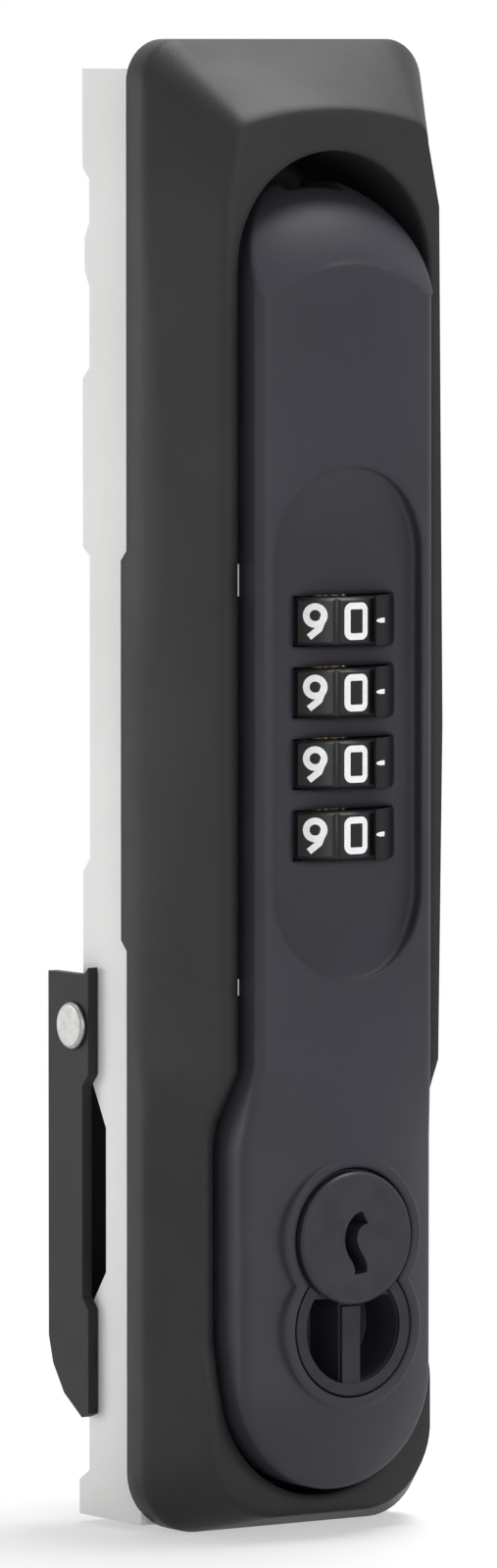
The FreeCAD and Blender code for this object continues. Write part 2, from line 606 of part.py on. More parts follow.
def make_spindle_circlip():
    f0, f1 = circlip_faces()
    ring = cut(rod_y(SPINDLE_R + CIRCLIP_RING, 0, PIVOT_Z, f0, f1),
               rod_y(SPINDLE_R - CLIP_GROOVE, 0, PIVOT_Z, f0 - PAST, f1 + PAST),
               box(-CIRCLIP_MOUTH, CIRCLIP_MOUTH, f0 - PAST, f1 + PAST, PIVOT_Z, PIVOT_Z + 2 * SPINDLE_R))
    ear_z = PIVOT_Z + SPINDLE_R + CIRCLIP_EYE_R
    trim = rod_y(SPINDLE_R + 0.02, 0, PIVOT_Z, f0 - PAST, f1 + PAST)
    places = (-CIRCLIP_EAR_X, CIRCLIP_EAR_X)
    ears = [cut(rod_y(CIRCLIP_RING, x, ear_z, f0, f1), trim) for x in places]
    eyes = [rod_y(CIRCLIP_EYE_R, x, ear_z, f0 - PAST, f1 + PAST) for x in places]
    return cut(fuse(ring, *ears), *eyes)


def square_hole(f0, f1):
    half = SQUARE / 2
    return box(-half, half, f0 - PAST, f1 + PAST, PIVOT_Z - half, PIVOT_Z + half)


def make_drive_cam():
    """Rear arm on the spindle's square, which works the door's latch rods."""
    f0, f1 = -DRIVE_BACK, -DRIVE_FRONT
    end_z = PIVOT_Z - DRIVE_LENGTH
    body = fuse(rod_y(DRIVE_HALF, 0, PIVOT_Z, f0, f1), box(-DRIVE_HALF, DRIVE_HALF, f0, f1, end_z, PIVOT_Z),
                rod_y(DRIVE_HALF, 0, end_z, f0, f1))
    return cut(body, square_hole(f0, f1), rod_y(ROD_HOLE_R, 0, end_z, f0 - PAST, f1 + PAST))


def make_cam_washer():
    f0, f1 = -SQUARE_END - WASHER_T, -SQUARE_END
    return cut(rod_y(WASHER_R, 0, PIVOT_Z, f0, f1),
               rod_y(CAM_SCREW_R + 0.6, 0, PIVOT_Z, f0 - PAST, f1 + PAST))


def make_cam_sleeve():
    """Spacer round the square between the drive cam and the washer."""
    return cut(rod_y(WASHER_R, 0, PIVOT_Z, -SQUARE_END, -DRIVE_BACK), square_hole(-SQUARE_END, -DRIVE_BACK))


def make_cam_screw():
    one = pan_head_screw(CAM_SCREW_R, CAM_SCREW_LENGTH, 2.2 * CAM_SCREW_R, 1.5 * CAM_SCREW_R, CAM_SCREW_SLOT)
    return placed(one, 0, SQUARE_END + WASHER_T, PIVOT_Z)


def make_rear_guard():
    """U-shaped guard behind the key plug's end, hinged at its top."""
    t, b = GUARD_TOP, GUARD_BOTTOM
    outer = GUARD_IN + GUARD_T
    outline = [(-GUARD_ARM, t + 1), (-GUARD_ARM - 1, t), (-GUARD_BACK, t), (-GUARD_BACK, b + 10.0),
               (-GUARD_BACK + 1.0, b + 6.5), (-GUARD_BACK + 3.6, b + 2.8), (-GUARD_ARM - 1.6, b),
               (-GUARD_ARM, b + 0.6), (-GUARD_ARM, GUARD_NOTCH_END), (-GUARD_SPINE, GUARD_NOTCH_END + 1.6),
               (-GUARD_SPINE, GUARD_NOTCH_TOP - 1.6), (-GUARD_ARM, GUARD_NOTCH_TOP)]
    body = side_plate(outline, -outer, outer)
    ear = GUARD_PIN_Z - GUARD_LUG_R - 1.4
    inside = GUARD_T - GUARD_BACK
    clear = -BASE_LOW - SLIDE
    past = -GUARD_BACK - PAST
    open_f = -GUARD_ARM + PAST
    hollow = [(open_f, t + 2), (past, t + 2), (past, ear), (inside, ear), (inside, b + 9.6),
              (inside + 0.9, b + 6.9), (inside + 3.0, b + 3.6), (clear, b + 2.2), (clear, b - PAST),
              (open_f, b - PAST)]
    body = cut(body, side_plate(hollow, -GUARD_IN, GUARD_IN))
    half, low, high = GUARD_WINDOW
    window = box(-half, half, past, inside + PAST, low, high)
    corners = edges_where(window, lambda e: abs(abs(e.CenterOfMass.x) - half) < 0.01
                          and abs(e.Length - GUARD_T - 2 * PAST) < 0.01)
    window = window.makeFillet(2.0, corners)
    return cut(body, window, rod_x(GUARD_PIN_R + RUN, -outer - PAST, outer + PAST, -GUARD_PIN_Y, GUARD_PIN_Z))


def make_guard_pin():
    end = GUARD_IN + GUARD_T + RUN
    shaft = rod_x(GUARD_PIN_R, -end, end, -GUARD_PIN_Y, GUARD_PIN_Z)
    heads = []
    for x0, face in ((end, end + GUARD_HEAD_T), (-end - GUARD_HEAD_T, -end - GUARD_HEAD_T)):
        head = rod_x(GUARD_HEAD_R, x0, x0 + GUARD_HEAD_T, -GUARD_PIN_Y, GUARD_PIN_Z)
        rim = edges_where(head, lambda e, x=face: abs(e.CenterOfMass.x - x) < 0.01)
        heads.append(head.makeChamfer(0.35, rim))
    return fuse(shaft, *heads)


# Handle body

def crown_points(half, edge_f, crown_f):
    """Half breadth of the crown's section past the edge, and the heights of its arc there and midway."""
    rise = crown_f - edge_f
    r = (half * half + rise * rise) / (2 * rise)
    x = half + 1.5
    return x, crown_f - r + sqrt(r * r - x * x), crown_f - r + sqrt(r * r - x * x / 4)


def crown_section(half, edge_f, crown_f, z):
    """Cross-section below the crowned front, whose arc passes the edge at half width."""
    x, low_f, _ = crown_points(half, edge_f, crown_f)
    return Part.Wire([
        line(V(-x, -HANDLE_BACK_F, z), V(-x, -low_f, z)),
        arc(V(-x, -low_f, z), V(0, -crown_f, z), V(x, -low_f, z)),
        line(V(x, -low_f, z), V(x, -HANDLE_BACK_F, z)),
        line(V(x, -HANDLE_BACK_F, z), V(-x, -HANDLE_BACK_F, z)),
    ])


def lobe_cap():
    """Round end of the lobe's crown: its section turned about the lobe's axis."""
    x, low_f, mid_f = crown_points(LOBE_HALF, LOBE_EDGE_F, LOBE_CROWN_F)
    return turned_form([
        line(V(0, -HANDLE_BACK_F, 0), V(x, -HANDLE_BACK_F, 0)),
        line(V(x, -HANDLE_BACK_F, 0), V(x, -low_f, 0)),
        arc(V(x, -low_f, 0), V(x / 2, -mid_f, 0), V(0, -LOBE_CROWN_F, 0)),
        line(V(0, -LOBE_CROWN_F, 0), V(0, -HANDLE_BACK_F, 0)),
    ], LOBE_Z)


def turned_form(edges, z):
    """Solid turned about an axis square to the door at a height z."""
    face = Part.Face(Part.Wire(edges))
    return placed(face.revolve(V(0, 0, 0), Y_AXIS, 360), 0, 0, z)


def nose_limit():
    """The space the nose may fill: a dome above its axis, and everything below."""
    back, far = HANDLE_BACK_F - PAST, GRIP_CROWN_F + 2
    foot = V(NOSE_BACK_R, -NOSE_BACK_F, 0)
    top = V(NOSE_FRONT_R, -NOSE_FRONT_F, 0)
    dome = turned_form([
        line(V(0, -back, 0), V(NOSE_BACK_R, -back, 0)),
        line(V(NOSE_BACK_R, -back, 0), foot),
        arc(foot, V(NOSE_MID_R, -NOSE_MID_F, 0), top),
        line(top, V(NOSE_FRONT_R, -far, 0)),
        line(V(NOSE_FRONT_R, -far, 0), V(0, -far, 0)),
        line(V(0, -far, 0), V(0, -back, 0)),
    ], NOSE_AXIS_Z)
    side = LOBE_HALF + PAST
    return fuse(dome, box(-side, side, back, far, LOBE_Z - side, NOSE_AXIS_Z))


def handle_form():
    """The handle's outer form, before its windows and hollows."""
    sections = [crown_section(GRIP_HALF, GRIP_EDGE_F, GRIP_CROWN_F, z)
                for z in (NOSE_Z + GRIP_HALF + 1, FLARE_TOP)]
    sections += [crown_section(LOBE_HALF, LOBE_EDGE_F, LOBE_CROWN_F, z) for z in (FLARE_END, LOBE_Z)]
    crown = fuse(Part.makeLoft(sections, True, True), lobe_cap())
    column = plate(lobed_outline(GRIP_HALF, NOSE_Z, LOBE_HALF), HANDLE_BACK_F, GRIP_CROWN_F + 2)
    form = column.common(crown).common(nose_limit())
    return form.makeFillet(EDGE_ROUND, edges_where(form, on_front_edge))


def on_front_edge(edge):
    """True for the edges between the handle's side walls and its crowned front."""
    m = edge.valueAt((edge.FirstParameter + edge.LastParameter) / 2)
    beside = abs(m.x) > GRIP_HALF - 0.3 or m.z < LOBE_Z - 1
    return -m.y > LOBE_EDGE_F - 1.5 and m.z < NOSE_AXIS_Z and beside


def scoop():
    """Pill-shaped hollow round the wheels, whose floor curves up at both ends."""
    top, bottom, far = SCOOP_TOP, SCOOP_BOTTOM, GRIP_CROWN_F + PAST
    body = stadium(SCOOP_HALF, top, bottom, SCOOP_FLOOR_F, far)
    rise = SCOOP_END_F - SCOOP_FLOOR_F
    r = (SCOOP_RUN * SCOOP_RUN + rise * rise) / (2 * rise)
    mid_f = SCOOP_FLOOR_F + r - sqrt(r * r - SCOOP_RUN * SCOOP_RUN / 4)
    x = -SCOOP_HALF - PAST
    high = [V(x, -SCOOP_FLOOR_F, top - SCOOP_RUN), V(x, -mid_f, top - SCOOP_RUN / 2), V(x, -SCOOP_END_F, top)]
    low = [V(x, -SCOOP_END_F, bottom), V(x, -mid_f, bottom + SCOOP_RUN / 2),
           V(x, -SCOOP_FLOOR_F, bottom + SCOOP_RUN)]
    ends = [high[-1], V(x, -far, top), V(x, -far, bottom), low[0]]
    edges = [line(low[-1], high[0]), arc(*high), *(line(p, q) for p, q in zip(ends, ends[1:])), arc(*low)]
    floor = Part.Face(Part.Wire(edges)).extrude(V(2 * (SCOOP_HALF + PAST), 0, 0))
    return body.common(floor)


def shaft_seats(r):
    """The wheels' shaft with its ends in the shell, or the bore for it."""
    return rod_z(r, 0, DIAL_AXIS_F, PACK_BOTTOM - SHAFT_SEAT, PACK_TOP + SHAFT_SEAT)


def wheel_room():
    """Windows, the index tabs' pockets and the hollow behind them for the wheels and their shaft."""
    rooms = []
    for z in DIAL_Z:
        low, high = z - WINDOW_H / 2, z + WINDOW_H / 2
        rooms.append(rod_z(DIAL_R + SLIDE, 0, DIAL_AXIS_F, low, high))
        tab = rod_z(DIAL_R + SLIDE + TAB_T + SEAT, 0, DIAL_AXIS_F, low, high)
        rooms.append(tab.common(box(DIAL_R / 2, GRIP_HALF, DIAL_AXIS_F - 1, GRIP_CROWN_F + PAST, low, high)))
    rooms.append(box(-FENCE_X - FENCE_T - SEAT, FENCE_X + SPRING_T + 0.2, 0, PACK_ROOF_F, PACK_BOTTOM,
                     PACK_TOP))
    rooms.append(shaft_seats(SHAFT_R))
    rooms.append(box(-SHAFT_R, SHAFT_R, 0, DIAL_AXIS_F, PACK_BOTTOM - SHAFT_SEAT, PACK_TOP + SHAFT_SEAT))
    return rooms


def fork_slot(f0, f1):
    """Room for the spindle's tongue between two heights over the door."""
    half = TONGUE_HALF + SLIDE
    return box(-half, half, f0, f1, PIVOT_Z - TONGUE_R - 4, PIVOT_Z + GRIP_HALF + 2)


def hinge_hollow():
    """Hollow between the wheels and the hinge, with a mid wall and a boss for the plate's screw."""
    half, far, wall = GRIP_HALF - HOLLOW_WALL, HOLLOW_F + PAST, MID_WALL / 2
    room = box(-half, half, 0, HOLLOW_F, PACK_TOP + HOLLOW_WALL, PIVOT_Z - HOLLOW_BELOW)
    return cut(room, rod_y(SCREW_BOSS_R, *PLATE_SCREWS[0], 0, far), box(-wall, wall, 0, far, 0, PIVOT_Z))


def make_handle_shell():
    lip = cut(figure_eight(LIP_OUTER_R, CORE_FRONT_F - LIP_BELOW, LIP_FRONT_F),
              figure_eight(LIP_INNER_R, CORE_FRONT_F - LIP_BELOW - PAST, LIP_FRONT_F + PAST))
    rim = edges_where(lip, lambda e: abs(e.CenterOfMass.y + LIP_FRONT_F) < 1e-6)
    lip = lip.makeChamfer(EDGE_BEVEL, rim)
    body = fuse(handle_form(), lip)
    hollows = [scoop(), figure_eight(LIP_INNER_R, CORE_FRONT_F - LIP_FLOOR, LIP_FRONT_F + PAST)]
    hollows.append(figure_eight(CORE_R + SEAT, 0, CORE_FRONT_F + PAST))
    hollows += wheel_room()
    hollows += [hinge_hollow(), fork_slot(0, PIVOT_F + TONGUE_R + SLIDE)]
    hollows.append(rod_x(PIN_R, -GRIP_HALF - PAST, GRIP_HALF + PAST, PIVOT_F, PIVOT_Z))
    channel = SLIDE_HALF + SLIDE
    lowest = LEG_TOP - LEG_T - THROW - SLIDE
    hollows.append(rod_y(CAM_R + SLIDE, 0, PLUG_Z, 0, CORE_BACK_F))
    hollows.append(box(-channel, channel, 0, SLIDE_FRONT_F + SLIDE / 3, lowest - 0.5, PLUG_Z))
    hollows.append(plate(lobed_outline(GRIP_HALF, NOSE_Z, LOBE_HALF, PLATE_INSET - SEAT), 0, PLATE_FRONT_F))
    depth = HANDLE_BACK_F + PLATE_SCREW_LENGTH + 0.9
    hollows += [rod_y(PLATE_SCREW_R, x, z, 0, depth) for x, z in PLATE_SCREWS]
    return solid_of(cut(body, *hollows))


def solid_of(shape):
    """The one solid of a shape, without loose crumbs that a cut leaves."""
    return max(shape.Solids, key=lambda s: s.Volume)


def make_handle_back_plate():
    body = plate(lobed_outline(GRIP_HALF, NOSE_Z, LOBE_HALF, PLATE_INSET), HANDLE_BACK_F, PLATE_FRONT_F)
    leg = LEG_TOP - LEG_T
    channel = SLIDE_HALF + SLIDE
    far = PLATE_FRONT_F + PAST
    hook = box(-channel, channel, 0, far, leg - THROW - SLIDE, LEG_TOP + SLIDE)
    holes = []
    for x, z in PLATE_SCREWS:
        holes.append(rod_y(PLATE_SCREW_R + 0.2, x, z, 0, far))
        holes.append(Part.makeCone(PLATE_SCREW_R + PLATE_SCREW_HEAD + SEAT, PLATE_SCREW_R + 0.2,
                                   PLATE_SCREW_HEAD_H, V(x, -HANDLE_BACK_F, z), -Y_AXIS))
    return cut(body, fork_slot(0, far), hook, *holes)


def make_back_plate_screws():
    """Countersunk screws, flush with the back plate."""
    shank = Part.makeCylinder(PLATE_SCREW_R, PLATE_SCREW_LENGTH, V(0, -PLATE_SCREW_LENGTH, 0), Y_AXIS)
    head = Part.makeCone(PLATE_SCREW_R, PLATE_SCREW_R + PLATE_SCREW_HEAD, PLATE_SCREW_HEAD_H,
                         V(0, -PLATE_SCREW_HEAD_H, 0), Y_AXIS)
    slot = Part.makeBox(2.4, 0.5, 0.4, V(-1.2, -0.35, -0.2))
    turned = slot.copy()
    turned.rotate(V(0, 0, 0), Y_AXIS, 90)
    one = cut(fuse(head, shank), slot, turned)
    return Part.makeCompound([placed(one, x, -HANDLE_BACK_F - 0.02, z) for x, z in PLATE_SCREWS])


def make_pivot_pin():
    reach = GRIP_HALF - 0.6
    pin = rod_x(PIN_R, -reach, reach, PIVOT_F, PIVOT_Z)
    ends = edges_where(pin, lambda e: e.Length > PIN_R * 6 and abs(e.CenterOfMass.x) > reach - 0.01)
    return pin.makeChamfer(0.4, ends)


def make_dial_shaft():
    return shaft_seats(SHAFT_R)


def make_dial_wheel(z):
    """Number ring with bevelled edges and a finger groove between its ten flats."""
    ring = rod_z(DIAL_R, 0, DIAL_AXIS_F, z - DIAL_W / 2, z + DIAL_W / 2)
    ring = ring.makeChamfer(DIAL_BEVEL, edges_where(ring, lambda e: e.Length > 6 * DIAL_R))
    r, out = FINGER_GROOVE
    grooves = notch_ring(r, DIAL_R + out, 180 / DIGITS, z - DIAL_W, z + DIAL_W)
    return cut(ring, rod_z(HUB_R, 0, DIAL_AXIS_F, z - DIAL_W, z + DIAL_W), *grooves)


def notch_ring(r, reach, first, z0, z1):
    """Ten upright rods round the wheels' axis, the first at an angle in degrees from the front."""
    places = [radians(first + n * 360 / DIGITS) for n in range(DIGITS)]
    return [rod_z(r, reach * sin(a), DIAL_AXIS_F + reach * cos(a), z0, z1) for a in places]


def make_code_hub(z):
    """Sleeve inside a wheel: a detent star above the ring and a gated rim below it."""
    body = rod_z(HUB_R, 0, DIAL_AXIS_F, z - HUB_LENGTH / 2, z + HUB_LENGTH / 2)
    r, out = STAR_NOTCH
    notches = notch_ring(r, HUB_R + out, 90, z + DIAL_W / 2, z + HUB_LENGTH)
    gate = box(-HUB_R - PAST, -HUB_R + GATE_DEPTH, DIAL_AXIS_F - GATE_HALF, DIAL_AXIS_F + GATE_HALF,
               z - HUB_LENGTH, z - DIAL_W / 2)
    return cut(body, gate, *notches, rod_z(SHAFT_R + RUN, 0, DIAL_AXIS_F, z - HUB_LENGTH, z + HUB_LENGTH))


def make_index_strip():
    """Strip beside the wheels with a curved tab in each window, which carries the index mark."""
    r0 = DIAL_R + SLIDE
    r1 = r0 + TAB_T
    start = radians(TAB_FROM)
    tabs = []
    for z in DIAL_Z:
        low, high = z - WINDOW_H / 2 + SEAT, z + WINDOW_H / 2 - SEAT
        ring = cut(rod_z(r1, 0, DIAL_AXIS_F, low, high), rod_z(r0, 0, DIAL_AXIS_F, low - 1, high + 1))
        far = 3 * DIAL_R
        wedge = [V(0, -DIAL_AXIS_F, low - 1), V(far * sin(start), -DIAL_AXIS_F - far * cos(start), low - 1),
                 V(far, -DIAL_AXIS_F - far * 0.5, low - 1), V(far, -DIAL_AXIS_F, low - 1)]
        sector = Part.Face(Part.makePolygon(wedge + wedge[:1])).extrude(V(0, 0, WINDOW_H + 3))
        tabs.append(ring.common(sector))
    carrier = box(r0, r1, DIAL_AXIS_F, DIAL_AXIS_F + 1.6, PACK_BOTTOM, PACK_TOP)
    carrier = cut(carrier, rod_z(r0, 0, DIAL_AXIS_F, PACK_BOTTOM - 1, PACK_TOP + 1))
    return fuse(carrier, *tabs)


def make_detent_spring():
    """Leaf spring with one finger to each hub's star."""
    x0 = FENCE_X + 0.15
    strip = box(x0, x0 + SPRING_T, DIAL_AXIS_F - 5.6, DIAL_AXIS_F - 1.2, PACK_BOTTOM, PACK_TOP)
    fingers = []
    for z in DIAL_Z:
        mid = z + (DIAL_W + HUB_LENGTH) / 4
        fingers.append(box(HUB_R + 0.15, x0 + 0.1, DIAL_AXIS_F - 2.0, DIAL_AXIS_F - 1.6, mid - 0.4,
                           mid + 0.4))
        fingers.append(rod_z(0.35, HUB_R + 0.5, DIAL_AXIS_F - 1.7, mid - 0.4, mid + 0.4))
    return fuse(strip, *fingers)


def make_fence_bar():
    """Bar whose teeth drop into the hubs' gates when all four wheels are on the code."""
    bar = box(-FENCE_X - FENCE_T, -FENCE_X, DIAL_AXIS_F - 2.5, DIAL_AXIS_F + 2.5, PACK_BOTTOM + 0.3,
              PACK_TOP - 0.3)
    teeth = []
    for z in DIAL_Z:
        mid = z - (DIAL_W + HUB_LENGTH) / 4
        teeth.append(box(-FENCE_X - 0.2, -HUB_R - SLIDE, DIAL_AXIS_F - 0.7, DIAL_AXIS_F + 0.7, mid - 0.4,
                         mid + 0.4))
    return fuse(bar, *teeth)


def make_core_body():
    """Figure-eight lock core: the plug's barrel over two open pockets with a web between them."""
    body = figure_eight(CORE_R, CORE_BACK_F, CORE_FRONT_F)
    limit = PLUG_Z - PLUG_R - 1.2
    pocket = rod_y(CORE_POCKET_R, 0, CORE_LOW_Z, CORE_FRONT_F - CORE_POCKET_DEPTH, CORE_FRONT_F + 1)
    pocket = cut(pocket, box(-CORE_WEB_T / 2, CORE_WEB_T / 2, 0, CORE_FRONT_F - 0.5, CORE_LOW_Z - 9, PLUG_Z),
                 box(-CORE_R, CORE_R, 0, CORE_FRONT_F + 2, limit, PLUG_Z))
    return cut(body, rod_y(PLUG_R + RUN, 0, PLUG_Z, 0, CORE_FRONT_F + 1), pocket)


def make_core_cap():
    """Ring round the lower pockets, a little proud of the core, cut away under the plug's face."""
    f0, f1 = CORE_FRONT_F, CORE_FRONT_F + CAP_T
    ring = cut(rod_y(CORE_R, 0, CORE_LOW_Z, f0, f1), rod_y(CORE_POCKET_R, 0, CORE_LOW_Z, f0 - 1, f1 + 1))
    top = PLUG_Z - PLUG_FACE_R - SLIDE
    half = CORE_WEB_T / 2 - 0.1
    rib = box(-half, half, f0, f0 + 0.25, CORE_LOW_Z - CORE_POCKET_R - 0.5, top)
    foot = box(-half, half, f0 - 0.5, f0, CORE_LOW_Z - CORE_POCKET_R, top)
    foot = foot.common(rod_y(CORE_POCKET_R, 0, CORE_LOW_Z, f0 - 1, f1))
    body = cut(fuse(ring, rib, foot), rod_y(PLUG_FACE_R + SLIDE, 0, PLUG_Z, f0 - 2, f1 + 1))
    return solid_of(body)


def make_lock_plug():
    """Round key plug with a wavy keyway and a square tail."""
    back = PLUG_FACE_F - PLUG_FACE_T
    face = rod_y(PLUG_FACE_R, 0, PLUG_Z, back, PLUG_FACE_F)
    rim = edges_where(face, lambda e: abs(e.CenterOfMass.y + PLUG_FACE_F) < 1e-6 and e.Length > PLUG_FACE_R)
    face = face.makeChamfer(0.4, rim)
    half = TAIL_SIDE / 2
    tail = box(-half, half, SLIDE_FRONT_F + 0.1, CORE_BACK_F, PLUG_Z - half, PLUG_Z + half)
    body = fuse(face, rod_y(PLUG_R, 0, PLUG_Z, CORE_BACK_F, back), tail)
    tapped = rod_y(THROW_SCREW_R, 0, PLUG_Z, 0, CORE_BACK_F + 3.0)
    return cut(body, keyway(), tapped)


def keyway():
    """Wavy keyhole of even width."""
    w, top, low = KEYWAY_SWAY, KEYWAY_TOP, KEYWAY_BOTTOM
    path = [(1.6 * w, top), (-0.5 * w, 0.65 * top), (-1.3 * w, 0), (-0.8 * w, 0.35 * low),
            (0.4 * w, 0.67 * low), (0.7 * w, low)]
    return wavy_slot([(x, PLUG_Z + z) for x, z in path], KEYWAY_W, PLUG_FACE_F - KEYWAY_DEPTH,
                     PLUG_FACE_F + PAST)


def make_throw_cam():
    """Disc on the plug's tail whose spiral slot moves the catch evenly as the key turns."""
    disc = rod_y(CAM_R, 0, PLUG_Z, CAM_BACK_F, CAM_BACK_F + CAM_T)
    half = TAIL_SIDE / 2 + SEAT / 2
    f0, f1 = CAM_BACK_F - PAST, CAM_BACK_F + CAM_T + PAST
    square = box(-half, half, f0, f1, PLUG_Z - half, PLUG_Z + half)
    steps = 8
    path = []
    for n in (-1.8, -1, *range(steps + 1), steps + 1.2):
        turn = pi / 2 * n / steps
        r = FOLLOW_START + THROW * n / steps
        path.append((r * sin(turn), PLUG_Z - r * cos(turn)))
    return cut(disc, square, wavy_slot(path, 2 * FOLLOW_R + 0.24, f0, f1))


def make_throw_cam_screw():
    """Screw in the plug's tail that keeps the spiral cam on its square."""
    seat = SLIDE_FRONT_F + 0.1
    head = rod_y(2.0, 0, PLUG_Z, seat - 1.0, seat)
    slot = box(-2.5, 2.5, seat - 1.5, seat - 0.5, PLUG_Z - 0.25, PLUG_Z + 0.25)
    shank = rod_y(THROW_SCREW_R, 0, PLUG_Z, seat, CORE_BACK_F + 2.5)
    return cut(fuse(head, shank), slot)


def make_catch_slide():
    """Sliding catch: follower pin, flat shank, leg through the back plate and toe."""
    f1 = SLIDE_FRONT_F
    leg = LEG_TOP - LEG_T
    shank = box(-SLIDE_HALF, SLIDE_HALF, SLIDE_BACK_F, f1, leg, SLIDE_TOP)
    corners = edges_where(shank, lambda e: abs(e.CenterOfMass.z - SLIDE_TOP) < 0.01
                          and abs(e.Length - SLIDE_T) < 0.01)
    shank = shank.makeChamfer(1.2, corners)
    toe_f = KEEPER_BACK_F - TOE_GAP
    half = SLIDE_HALF - 1
    column = box(-half, half, toe_f - TOE_T, f1, leg, LEG_TOP)
    toe = box(-half, half, toe_f - TOE_T, toe_f, leg - TOE_LENGTH, LEG_TOP)
    pin = rod_y(FOLLOW_R, 0, PLUG_Z - FOLLOW_START, f1 - 0.5, CAM_BACK_F + CAM_T)
    return fuse(shank, column, toe, pin)


# Files, one per node

def sub_parts():
    parts = {
        "front_cover": make_front_cover(),
        "base_housing": make_base_housing(),
        "cover_screws": make_cover_screws(),
        "fixing_inserts": make_fixing_inserts(),
        "catch_keeper": make_catch_keeper(),
        "keeper_screws": make_keeper_screws(),
        "spindle": make_spindle(),
        "spindle_bush": make_spindle_bush(),
        "spindle_circlip": make_spindle_circlip(),
        "drive_cam": make_drive_cam(),
        "cam_sleeve": make_cam_sleeve(),
        "cam_washer": make_cam_washer(),
        "cam_screw": make_cam_screw(),
        "guard_pin": make_guard_pin(),
        "rear_guard": make_rear_guard(),
        "handle_shell": make_handle_shell(),
        "handle_back_plate": make_handle_back_plate(),
        "back_plate_screws": make_back_plate_screws(),
        "pivot_pin": make_pivot_pin(),
        "dial_shaft": make_dial_shaft(),
        "index_strip": make_index_strip(),
        "detent_spring": make_detent_spring(),
        "fence_bar": make_fence_bar(),
        "core_body": make_core_body(),
        "core_cap": make_core_cap(),
        "lock_plug": make_lock_plug(),
        "throw_cam": make_throw_cam(),
        "throw_cam_screw": make_throw_cam_screw(),
        "catch_slide": make_catch_slide(),
    }
    for n, z in enumerate(DIAL_Z, 1):
        parts[f"dial_wheel_{n}"] = make_dial_wheel(z)
        parts[f"code_hub_{n}"] = make_code_hub(z)
    return parts


def main():
    os.makedirs("parts", exist_ok=True)
    for name, shape in sub_parts().items():
        solids = shape.Solids
        print(f"{name:20s} solids {len(solids)} volume {shape.Volume:9.1f} valid {shape.isValid()}")
        shape.exportStep(f"parts/{name}.step")


main()
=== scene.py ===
"""Looks of the rack cabinet door lock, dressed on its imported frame.

Lengths are in metres, or in mm where it says so.
"""
import json
import math

import bmesh
import bpy
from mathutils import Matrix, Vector

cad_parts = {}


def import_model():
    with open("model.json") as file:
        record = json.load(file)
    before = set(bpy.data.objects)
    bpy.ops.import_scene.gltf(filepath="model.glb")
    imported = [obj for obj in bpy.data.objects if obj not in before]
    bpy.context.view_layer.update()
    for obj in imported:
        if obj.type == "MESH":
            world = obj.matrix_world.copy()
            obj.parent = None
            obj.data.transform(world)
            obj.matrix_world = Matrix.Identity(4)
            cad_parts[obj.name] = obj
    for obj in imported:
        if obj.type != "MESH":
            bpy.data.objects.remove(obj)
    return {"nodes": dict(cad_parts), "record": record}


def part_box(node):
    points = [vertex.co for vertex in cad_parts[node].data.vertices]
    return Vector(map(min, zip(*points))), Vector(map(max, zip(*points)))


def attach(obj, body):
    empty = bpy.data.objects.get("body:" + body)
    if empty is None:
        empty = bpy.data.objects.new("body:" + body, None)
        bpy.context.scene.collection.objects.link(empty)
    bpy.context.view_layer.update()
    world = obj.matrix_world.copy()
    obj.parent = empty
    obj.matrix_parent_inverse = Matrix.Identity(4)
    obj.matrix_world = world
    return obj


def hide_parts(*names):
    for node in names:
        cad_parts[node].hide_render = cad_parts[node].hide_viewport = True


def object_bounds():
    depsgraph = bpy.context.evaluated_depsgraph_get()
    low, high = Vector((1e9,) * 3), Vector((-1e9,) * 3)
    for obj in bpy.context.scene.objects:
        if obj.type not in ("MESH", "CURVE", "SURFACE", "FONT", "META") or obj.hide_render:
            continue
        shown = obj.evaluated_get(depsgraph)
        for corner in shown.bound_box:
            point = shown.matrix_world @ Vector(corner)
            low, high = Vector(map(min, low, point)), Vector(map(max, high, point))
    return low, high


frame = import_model()
CAD_BOX = [list(p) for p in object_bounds()]
NODES = frame["nodes"]
MM = 0.001

# The photograph's view
VIEW_TURN = math.radians(34.0)      # the camera stands this far to the object's left
VIEW_RISE = math.radians(3.9)
VIEW_DISTANCE = 1.4
VIEW_AIM = Vector((-2.7, 0.0, 0.0)) * MM
VIEW_LENS = 249.8                   # in mm, as is the sensor
VIEW_SENSOR = 36.0
VIEW_RANGE = (0.05, 20.0)

# Places on the frame
WHEELS = 4
WHEEL_R = 8.9 * MM
WHEEL_AXIS_Y = -11.7 * MM
TAB_R = 9.6 * MM
TAB_ANGLE = math.radians(23.2)      # from the front to the middle of the index dash
PLUG_Z = -57.0 * MM


# Node materials, with their patterns per metre and the depths of their bumps

CLOUDS_PER_M = 45.0
GLOSS_PER_M = 160.0
STREAKS_PER_M = 900.0
STREAK_DEPTH = 0.006 * MM
FLECKS_PER_M = 3500.0
FLECK_DEPTH = 0.01 * MM
PLUG_CLOUDS_PER_M = 300.0
PLUG_GRAIN_PER_M = 2500.0
PLUG_GRAIN_DEPTH = 0.008 * MM
PLUG_RING_RATE = 26000.0            # radians per metre of radius
PLUG_RING_DEPTH = 0.0025 * MM
EDGE_SAMPLES = 8


